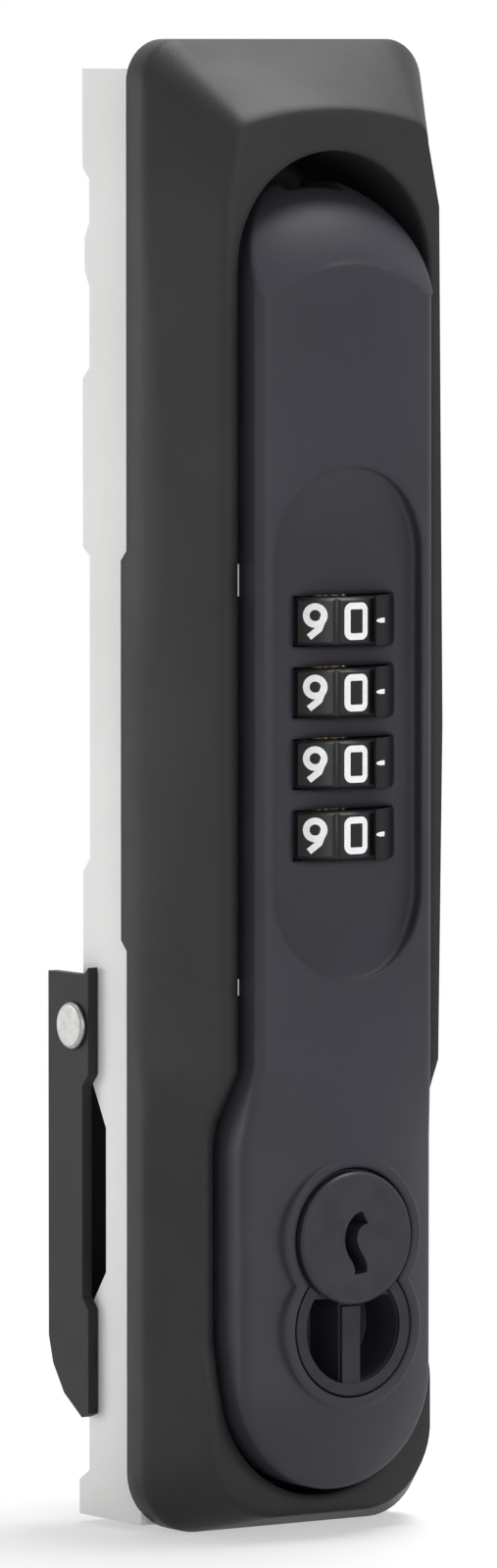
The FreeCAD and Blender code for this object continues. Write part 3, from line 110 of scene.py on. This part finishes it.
class Nodes:
    """A material's node tree, with short calls for the nodes that the finishes share."""

    def __init__(self, name):
        self.material = bpy.data.materials.new(name)
        self.material.use_nodes = True
        self.tree = self.material.node_tree
        self.shader = self.tree.nodes["Principled BSDF"]
        self.place = self.add("ShaderNodeTexCoord").outputs["Object"]

    def add(self, kind, **settings):
        node = self.tree.nodes.new(kind)
        for key, value in settings.items():
            setattr(node, key, value)
        return node

    def link(self, a, b):
        self.tree.links.new(a, b)

    def noise(self, per_metre, detail=3.0, roughness=0.55):
        node = self.add("ShaderNodeTexNoise")
        node.inputs["Scale"].default_value = per_metre
        node.inputs["Detail"].default_value = detail
        node.inputs["Roughness"].default_value = roughness
        self.link(self.place, node.inputs["Vector"])
        return node.outputs["Fac"]

    def ramp(self, source, low, high, start=0.3, end=0.7):
        """Spreads the middle of a noise's range over low to high."""
        node = self.add("ShaderNodeMapRange")
        node.inputs["From Min"].default_value = start
        node.inputs["From Max"].default_value = end
        node.inputs["To Min"].default_value = low
        node.inputs["To Max"].default_value = high
        self.link(source, node.inputs["Value"])
        return node.outputs["Result"]

    def colours(self, source, first, second):
        """Two colours in the pattern of a noise."""
        node = self.add("ShaderNodeMix", data_type="RGBA")
        ends = [socket for socket in node.inputs if socket.type == "RGBA"]
        ends[0].default_value = (*first, 1)
        ends[1].default_value = (*second, 1)
        self.link(self.ramp(source, 0.0, 1.0, 0.35, 0.65), node.inputs[0])
        return [socket for socket in node.outputs if socket.type == "RGBA"][0]

    def bump(self, source, height, below=None):
        node = self.add("ShaderNodeBump")
        node.inputs["Distance"].default_value = height
        node.inputs["Strength"].default_value = 1.0
        self.link(source, node.inputs["Height"])
        if below:
            self.link(below, node.inputs["Normal"])
        return node.outputs["Normal"]

    def rounded(self, radius):
        """Normals that turn softly round the piece's edges."""
        node = self.add("ShaderNodeBevel", samples=EDGE_SAMPLES)
        node.inputs["Radius"].default_value = radius
        return node.outputs["Normal"]

    def math(self, operation, source, number=None):
        node = self.add("ShaderNodeMath", operation=operation)
        self.link(source, node.inputs[0])
        if number is not None:
            node.inputs[1].default_value = number
        return node.outputs[0]

    def set(self, name, value):
        """Sets one of the shader's inputs to a value, or links it to a node's output."""
        socket = self.shader.inputs[name]
        if hasattr(value, "links"):
            self.link(value, socket)
        else:
            socket.default_value = value


def moulded(name, colour, worn, rough, grain=2600.0, depth=0.02, specular=0.5, soft=None):
    """Spark-eroded moulded plastic: fine grain, faint clouding, uneven gloss. Depth and soft are in mm."""
    n = Nodes(name)
    clouds = n.noise(CLOUDS_PER_M, 4.0)
    fine = n.noise(grain, 2.0, 0.6)
    n.set("Base Color", n.colours(clouds, colour, worn))
    n.set("Roughness", n.ramp(n.noise(GLOSS_PER_M), rough - 0.015, rough + 0.02))
    n.set("Specular IOR Level", specular)
    n.set("Normal", n.bump(fine, depth * MM, n.rounded(soft * MM) if soft else None))
    return n.material


def metal(name, colour, rough):
    """Machined or plated metal with uneven brightness and gloss."""
    n = Nodes(name)
    streaks = n.noise(STREAKS_PER_M, 3.0, 0.6)
    shade = tuple(c * 0.8 for c in colour)
    n.set("Base Color", n.colours(streaks, colour, shade))
    n.set("Metallic", 1.0)
    n.set("Roughness", n.ramp(streaks, rough - 0.08, rough + 0.1))
    n.set("Normal", n.bump(streaks, STREAK_DEPTH))
    return n.material


def turned_metal(name, colour):
    """Dark coated metal with faint turning rings about the plug's axis."""
    n = Nodes(name)
    split = n.add("ShaderNodeSeparateXYZ")
    n.link(n.place, split.inputs["Vector"])
    join = n.add("ShaderNodeCombineXYZ")
    n.link(split.outputs["X"], join.inputs["X"])
    n.link(n.math("SUBTRACT", split.outputs["Z"], PLUG_Z), join.inputs["Z"])
    radius = n.add("ShaderNodeVectorMath", operation="LENGTH")
    n.link(join.outputs["Vector"], radius.inputs[0])
    rings = n.math("SINE", n.math("MULTIPLY", radius.outputs["Value"], PLUG_RING_RATE))
    clouds = n.noise(PLUG_CLOUDS_PER_M)
    n.set("Base Color", n.colours(clouds, colour, tuple(c * 1.25 for c in colour)))
    n.set("Roughness", n.ramp(clouds, 0.34, 0.46))
    n.set("Specular IOR Level", 0.2)
    fine = n.bump(n.noise(PLUG_GRAIN_PER_M, 2.0), PLUG_GRAIN_DEPTH)
    n.set("Normal", n.bump(rings, PLUG_RING_DEPTH, fine))
    return n.material


def white_paint(name):
    """Matt paint of the numbers and dashes."""
    n = Nodes(name)
    flecks = n.noise(FLECKS_PER_M)
    n.set("Base Color", n.colours(flecks, (0.92, 0.92, 0.93), (0.82, 0.82, 0.84)))
    n.set("Roughness", 0.55)
    n.set("Normal", n.bump(flecks, FLECK_DEPTH))
    return n.material


FINISHES = {
    "cover_black": moulded("cover_black", (0.022, 0.022, 0.023), (0.027, 0.027, 0.028), 0.50,
                           specular=0.2, soft=2.6),
    "handle_black": moulded("handle_black", (0.034, 0.034, 0.043), (0.040, 0.040, 0.050), 0.47,
                            grain=3000.0, depth=0.015, specular=0.18, soft=1.2),
    "base_grey": moulded("base_grey", (0.80, 0.80, 0.79), (0.84, 0.84, 0.83), 0.62, grain=1800.0, depth=0.03),
    "guard_black": moulded("guard_black", (0.018, 0.018, 0.019), (0.023, 0.023, 0.024), 0.48, specular=0.15),
    "plate_black": moulded("plate_black", (0.014, 0.014, 0.015), (0.018, 0.018, 0.019), 0.5, specular=0.15),
    "dial_black": moulded("dial_black", (0.009, 0.009, 0.010), (0.012, 0.012, 0.013), 0.34,
                          grain=3500.0, depth=0.008, specular=0.25),
    "index_black": moulded("index_black", (0.006, 0.006, 0.007), (0.008, 0.008, 0.009), 0.5, specular=0.15),
    "core_black": turned_metal("core_black", (0.022, 0.022, 0.027)),
    "plug_black": turned_metal("plug_black", (0.028, 0.028, 0.035)),
    "bush_plastic": moulded("bush_plastic", (0.62, 0.61, 0.57), (0.66, 0.65, 0.61), 0.45,
                            grain=2000.0, depth=0.01),
    "steel": metal("steel", (0.60, 0.60, 0.59), 0.36),
    "zinc": metal("zinc", (0.52, 0.53, 0.54), 0.42),
    "bright_steel": metal("bright_steel", (0.38, 0.38, 0.375), 0.34),
    "spring_steel": metal("spring_steel", (0.30, 0.31, 0.34), 0.34),
    "brass": metal("brass", (0.70, 0.50, 0.24), 0.32),
}
CLIP_STEEL = metal("clip_steel", (0.88, 0.88, 0.87), 0.5)
WHITE = white_paint("number_white")
SLOT_OF = {s["node"]: s["material_slot"] for s in frame["record"]["subparts"]}
BODY_OF = {n: body for body, members in frame["record"]["behaviour"]["bodies"].items() for n in members}


# Dressing the pieces

MERGE = 0.002 * MM
FLAT_ANGLE = math.radians(0.5)
SHARP_ANGLE = math.radians(28.0)
TRIANGLES = ("base_housing", "front_cover", "handle_shell")    # their large faces have many holes

# Scoop in the handle's front, in mm
SCOOP_HALF = 11.3
SCOOP_TOP = 41.4
SCOOP_LOW = -24.1
SCOOP_FLOOR = 17.1
SCOOP_WALL = 0.7        # least height of the rim over the floor
SCOOP_BAND = 0.3        # how near to the outline a vertex of the rim lies
SCOOP_SOFT = 1.1
SCOOP_ANGLE = 0.4       # least bend of the rim, in radians

# Width of each piece's softened edges, in mm
SOFTNESS = {
    "front_cover": 0.7, "handle_shell": 0.25, "base_housing": 0.25, "rear_guard": 0.3,
    "handle_back_plate": 0.1, "core_body": 0.12, "core_cap": 0.15, "lock_plug": 0.1, "guard_pin": 0.1,
    "catch_slide": 0.15,
}
SOFTNESS.update({f"dial_wheel_{wheel}": 0.2 for wheel in range(1, WHEELS + 1)})


def on_scoop_rim(vert):
    """True for a vertex of the handle where its front runs into the scoop's wall."""
    x, y, z = (value / MM for value in vert.co)
    level = min(max(z, SCOOP_LOW + SCOOP_HALF), SCOOP_TOP - SCOOP_HALF)
    beside = abs(math.hypot(x, z - level) - SCOOP_HALF) < SCOOP_BAND
    return beside and -y > SCOOP_FLOOR + SCOOP_WALL


def mark_scoop(made):
    """Gives the scoop's rim a weight, so that it is rounded more broadly than the other edges."""
    weight = made.edges.layers.float.new("bevel_weight_edge")
    for edge in made.edges:
        sharp = len(edge.link_faces) == 2 and edge.calc_face_angle() > SCOOP_ANGLE
        if sharp and all(map(on_scoop_rim, edge.verts)):
            edge[weight] = 1.0


def clean_mesh(node):
    """Copy of a node's mesh with merged vertices, whole flat faces and smooth shading."""
    mesh = NODES[node].data.copy()
    mesh.name = node + "_dressed"
    made = bmesh.new()
    made.from_mesh(mesh)
    bmesh.ops.remove_doubles(made, verts=made.verts, dist=MERGE)
    bmesh.ops.dissolve_limit(made, angle_limit=FLAT_ANGLE, verts=made.verts, edges=made.edges)
    if node in TRIANGLES:
        bmesh.ops.triangulate(made, faces=[face for face in made.faces if len(face.verts) > 4])
    for face in made.faces:
        face.smooth = True
    if node == "handle_shell":
        mark_scoop(made)
    made.to_mesh(mesh)
    made.free()
    if mesh.has_custom_normals:
        mesh.normals_split_custom_set([(0, 0, 0)] * len(mesh.loops))
    return mesh


def give_finish(mesh, node):
    mesh.materials.clear()
    mesh.materials.append(FINISHES[SLOT_OF[node]])


def dress(node, width):
    """Copy of a node with softened edges and its finish, which stands for it."""
    mesh = clean_mesh(node)
    give_finish(mesh, node)
    piece = bpy.data.objects.new(node + "_finish", mesh)
    bpy.context.scene.collection.objects.link(piece)
    if node == "handle_shell":
        broad = piece.modifiers.new("broad edge", "BEVEL")
        broad.width = SCOOP_SOFT * MM
        broad.segments = 4
        broad.limit_method = "WEIGHT"
    bevel = piece.modifiers.new("soft edges", "BEVEL")
    bevel.width = width * MM
    bevel.segments = 2
    bevel.limit_method = "ANGLE"
    bevel.angle_limit = SHARP_ANGLE
    bevel.miter_outer = "MITER_ARC"
    normals = piece.modifiers.new("even normals", "WEIGHTED_NORMAL")
    normals.keep_sharp = True
    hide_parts(node)
    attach(piece, BODY_OF[node])


for node in sorted(NODES):
    if node in SOFTNESS:
        dress(node, SOFTNESS[node])
    else:
        give_finish(NODES[node].data, node)


def add_trim(made, name, material, body):
    """A small piece that only the looks have, carried by a body of the frame."""
    bmesh.ops.recalc_face_normals(made, faces=made.faces)
    mesh = bpy.data.meshes.new(name)
    made.to_mesh(mesh)
    made.free()
    mesh.materials.append(material)
    piece = bpy.data.objects.new(name, mesh)
    bpy.context.scene.collection.objects.link(piece)
    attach(piece, body)


# Numbers on the wheels, in mm until they are wrapped round the wheel

GLYPH_W = 1.36          # half width of a number's centre line
GLYPH_H = 1.95          # half height
STROKE = 0.85
CORNER = 0.6
LOOP_R = 1.15           # loop of the 6 and the 9
PAINT_T = 0.03 * MM
STROKE_STEP = 0.25
DASH = ((-0.95, 0.12), (-0.1, 0.3), (0.95, 0.3))    # places along an index dash and its half height there


def ribbon(path, closed, width):
    """Left and right edges of a stroke along a flat path."""
    count = len(path)
    sides = []
    for i, p in enumerate(path):
        before = path[i - 1] if closed or i else p
        after = path[(i + 1) % count] if closed or i < count - 1 else p
        d = (after - before).normalized()
        a, b = (p - before), (after - p)
        half = width / 2
        if a.length and b.length:
            half /= max(0.5, math.cos(a.angle(b, 0.0) / 2))
        n = Vector((-d.y, d.x)) * half
        sides.append((p + n, p - n))
    return sides


def finer(path, closed):
    """The path with points at most a short step apart, so that strokes follow the wheel's round face."""
    ends = zip(path, path[1:] + path[:1] if closed else path[1:])
    fine = []
    for a, b in ends:
        count = max(1, math.ceil((b - a).length / STROKE_STEP))
        fine += [a.lerp(b, k / count) for k in range(count)]
    return fine if closed else fine + [path[-1].copy()]


def bend(x0, z0, r, start, stop, steps=8):
    """Points round an arc, with angles in degrees from +x."""
    angles = [math.radians(start + (stop - start) * k / steps) for k in range(steps + 1)]
    return [Vector((x0 + r * math.cos(a), z0 + r * math.sin(a))) for a in angles]


def ring(z, r, start, steps):
    """Closed loop on the number's middle line."""
    return bend(0, z, r, start, start + 360, steps)[:-1], True


def stroke(*points):
    """Open stroke through the points."""
    return [Vector(p) for p in points], False


def glyphs():
    """Strokes of the numbers 0 to 9 as (points, closed) about each one's middle, in a plain face."""
    w, h, r = GLYPH_W, GLYPH_H, CORNER
    top = h - r
    zero = (bend(w - r, top, r, 0, 90) + bend(-w + r, top, r, 90, 180)
            + bend(-w + r, -top, r, 180, 270) + bend(w - r, -top, r, 270, 360))
    two = bend(0, h - w, w, 170, -35) + [Vector((-w, -h)), Vector((w, -h))]
    three = bend(0, h / 2, h / 2 + 0.05, 160, -90) + bend(0, -h / 2, h / 2 + 0.25, 90, -160)
    five = ([Vector((w, h)), Vector((-w * 0.8, h)), Vector((-w * 0.9, 0.25))]
            + bend(0, -h + 1.2, 1.35, 120, -160))
    return [
        [(zero, True)],
        [stroke((-0.75, h - 1.0), (0.25, h), (0.25, -h))],
        [(two, False)],
        [(three, False)],
        [stroke((w * 0.5, -h), (w * 0.5, h), (-w, -0.7), (w, -0.7))],
        [(five, False)],
        [ring(-h + LOOP_R, LOOP_R, 90, 20), stroke((0.8, h), (-0.5, 0.9), (-LOOP_R, -h + LOOP_R))],
        [stroke((-w, h), (w, h), (-0.4, -h))],
        [ring(h - 0.9, 0.9, 0, 18), ring(-h + 1.08, 1.08, 0, 18)],
        [ring(h - LOOP_R, LOOP_R, 90, 20), stroke((-0.8, -h), (0.5, -0.9), (LOOP_R, h - LOOP_R))],
    ]


def wrap(made, sides, closed, angle, z, radius):
    """Adds a raised stroke round an upright cylinder, from flat edges in mm."""
    outer, inner = radius + PAINT_T, radius - PAINT_T

    def at(p, r):
        a = angle + p.x * MM / radius
        return made.verts.new((r * math.sin(a), WHEEL_AXIS_Y - r * math.cos(a), z + p.y * MM))

    rows = [[at(left, outer), at(right, outer), at(right, inner), at(left, inner)] for left, right in sides]
    pairs = list(zip(rows, rows[1:]))
    if closed:
        pairs.append((rows[-1], rows[0]))
    for a, b in pairs:
        for k in range(4):
            made.faces.new((a[k], a[(k + 1) % 4], b[(k + 1) % 4], b[k]))
    if not closed:
        made.faces.new(rows[0][::-1])
        made.faces.new(rows[-1])


def wheel_height(index):
    low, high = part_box(f"dial_wheel_{index}")
    return (low[2] + high[2]) / 2


def numbers(index):
    """All ten numbers of one wheel."""
    made = bmesh.new()
    z = wheel_height(index)
    shapes = glyphs()
    for digit, strokes in enumerate(shapes):
        for path, closed in strokes:
            sides = ribbon(finer(path, closed), closed, STROKE)
            wrap(made, sides, closed, digit * math.tau / len(shapes), z, WHEEL_R)
    add_trim(made, f"wheel_{index}_numbers", WHITE, f"dial_{index}")


def index_marks():
    """One small dash on each tab beside the wheels."""
    made = bmesh.new()
    sides = [(Vector((x, half)), Vector((x, -half))) for x, half in DASH]
    for index in range(1, WHEELS + 1):
        wrap(made, sides, False, TAB_ANGLE, wheel_height(index), TAB_R)
    add_trim(made, "index_marks", WHITE, "handle")


for wheel in range(1, WHEELS + 1):
    numbers(wheel)
index_marks()


# Steel clips in the dish's left wall, in mm

CLIP_PLACES = ((27.2, 4.2), (-24.6, 2.2))    # middle and length of each clip's pocket along the wall
CLIP_PLAY = 0.05
CLIP_BACK = -15.25
CLIP_FRONT = -14.1
CLIP_TOP_F = 15.05
CLIP_LOW_F = 12.85
CLIP_LEAN = 0.3         # how far the tongue's lower half leans back
CLIP_EDGE_X = 0.2       # depth and height of the cut at its upper corner
CLIP_EDGE_F = 0.3


def dish_clips():
    """Bent steel strips that lie in the wall's pockets, with a small tongue towards the handle."""
    middle = (CLIP_TOP_F + CLIP_LOW_F) / 2
    profile = [(CLIP_BACK, CLIP_LOW_F), (CLIP_FRONT - CLIP_LEAN, CLIP_LOW_F), (CLIP_FRONT, middle),
               (CLIP_FRONT, CLIP_TOP_F - CLIP_EDGE_F), (CLIP_FRONT - CLIP_EDGE_X, CLIP_TOP_F),
               (CLIP_BACK, CLIP_TOP_F)]
    made = bmesh.new()
    for z, length in CLIP_PLACES:
        half = length / 2 - CLIP_PLAY
        low = [made.verts.new((x * MM, -f * MM, (z - half) * MM)) for x, f in profile]
        high = [made.verts.new((x * MM, -f * MM, (z + half) * MM)) for x, f in profile]
        made.faces.new(low)
        made.faces.new(high[::-1])
        for k in range(len(profile)):
            after = (k + 1) % len(profile)
            made.faces.new((low[k], low[after], high[after], high[k]))
    add_trim(made, "dish_clips", CLIP_STEEL, "root")


dish_clips()


# Floor, lights and camera

FLOOR_HALF = 3.0
FLOOR_BELOW = 0.2 * MM
FLOOR_COLOUR = (0.9, 0.9, 0.9, 1)
WHITE_LIGHT = (1.0, 1.0, 1.0, 1)
SHADOW_NEAR = 0.15      # up to this distance from the object's middle the floor shows its shadow
SHADOW_FAR = 0.35       # and from this one on it is white
SHADOW_SHARE = 0.5      # share of white over the shadow
FILL = 0.24


def seen_rays(tree):
    """1 for the rays that show the background: those of the camera, of gloss and through glass."""
    path = tree.nodes.new("ShaderNodeLightPath")
    value = path.outputs["Is Camera Ray"]
    for name in ("Is Glossy Ray", "Is Transmission Ray"):
        larger = tree.nodes.new("ShaderNodeMath")
        larger.operation = "MAXIMUM"
        tree.links.new(value, larger.inputs[0])
        tree.links.new(path.outputs[name], larger.inputs[1])
        value = larger.outputs[0]
    return value


def mixed(tree, factor, first, second):
    mix = tree.nodes.new("ShaderNodeMixShader")
    tree.links.new(factor, mix.inputs[0])
    tree.links.new(first, mix.inputs[1])
    tree.links.new(second, mix.inputs[2])
    return mix.outputs[0]


def backdrop_material():
    """White in the picture, with a soft shadow near the object, and a matte floor to the other rays."""
    material = bpy.data.materials.new("backdrop")
    material.use_nodes = True
    tree = material.node_tree
    tree.nodes.clear()
    out = tree.nodes.new("ShaderNodeOutputMaterial")
    white = tree.nodes.new("ShaderNodeEmission").outputs[0]
    matte = tree.nodes.new("ShaderNodeBsdfDiffuse")
    matte.inputs["Color"].default_value = FLOOR_COLOUR
    place = tree.nodes.new("ShaderNodeTexCoord").outputs["Object"]
    away = tree.nodes.new("ShaderNodeVectorMath")
    away.operation = "LENGTH"
    tree.links.new(place, away.inputs[0])
    share = tree.nodes.new("ShaderNodeMapRange")
    share.inputs["From Min"].default_value = SHADOW_NEAR
    share.inputs["From Max"].default_value = SHADOW_FAR
    share.inputs["To Min"].default_value = SHADOW_SHARE
    share.inputs["To Max"].default_value = 1.0
    tree.links.new(away.outputs["Value"], share.inputs["Value"])
    shown = mixed(tree, share.outputs["Result"], matte.outputs[0], white)
    tree.links.new(mixed(tree, seen_rays(tree), matte.outputs[0], shown), out.inputs["Surface"])
    return material


def floor():
    h = FLOOR_HALF
    z = CAD_BOX[0][2] - FLOOR_BELOW
    mesh = bpy.data.meshes.new("floor")
    mesh.from_pydata([(-h, -h, z), (h, -h, z), (h, h, z), (-h, h, z)], [], [(0, 1, 2, 3)])
    mesh.materials.append(backdrop_material())
    obj = bpy.data.objects.new("floor", mesh)
    bpy.context.scene.collection.objects.link(obj)


def area_light(name, place, aim, size, watts):
    light = bpy.data.lights.new(name, "AREA")
    light.shape = "RECTANGLE"
    light.size, light.size_y = size
    light.energy = watts
    obj = bpy.data.objects.new(name, light)
    obj.location = place
    obj.rotation_mode = "QUATERNION"
    obj.rotation_quaternion = (Vector(aim) - Vector(place)).to_track_quat("-Z", "Y")
    bpy.context.scene.collection.objects.link(obj)


def background(tree, strength):
    node = tree.nodes.new("ShaderNodeBackground")
    node.inputs["Color"].default_value = WHITE_LIGHT
    node.inputs["Strength"].default_value = strength
    return node.outputs[0]


def world():
    """White where the background is seen, and a weak even fill elsewhere."""
    made = bpy.data.worlds.new("studio")
    bpy.context.scene.world = made
    made.use_nodes = True
    tree = made.node_tree
    tree.nodes.clear()
    out = tree.nodes.new("ShaderNodeOutputWorld")
    both = mixed(tree, seen_rays(tree), background(tree, FILL), background(tree, 1.0))
    tree.links.new(both, out.inputs["Surface"])


def camera():
    data = bpy.data.cameras.new("camera")
    data.lens = VIEW_LENS
    data.sensor_width = VIEW_SENSOR
    data.clip_start, data.clip_end = VIEW_RANGE
    obj = bpy.data.objects.new("camera", data)
    back = Vector((-math.sin(VIEW_TURN) * math.cos(VIEW_RISE), -math.cos(VIEW_TURN) * math.cos(VIEW_RISE),
                   math.sin(VIEW_RISE)))
    obj.location = VIEW_AIM + back * VIEW_DISTANCE
    obj.rotation_mode = "QUATERNION"
    obj.rotation_quaternion = (-back).to_track_quat("-Z", "Y")
    bpy.context.scene.collection.objects.link(obj)
    bpy.context.scene.camera = obj


floor()
world()
area_light("top", place=(0.3, 0.05, 1.05), aim=(0, 0, 0.07), size=(0.8, 0.55), watts=16.5)
area_light("front", place=(-0.25, -1.3, 0.1), aim=(0, 0, -0.02), size=(0.6, 1.0), watts=8.0)
area_light("behind", place=(-0.85, 0.75, -0.2), aim=(0, 0, -0.05), size=(0.6, 1.0), watts=9.5)
camera()
bpy.context.scene.view_settings.view_transform = "Standard"
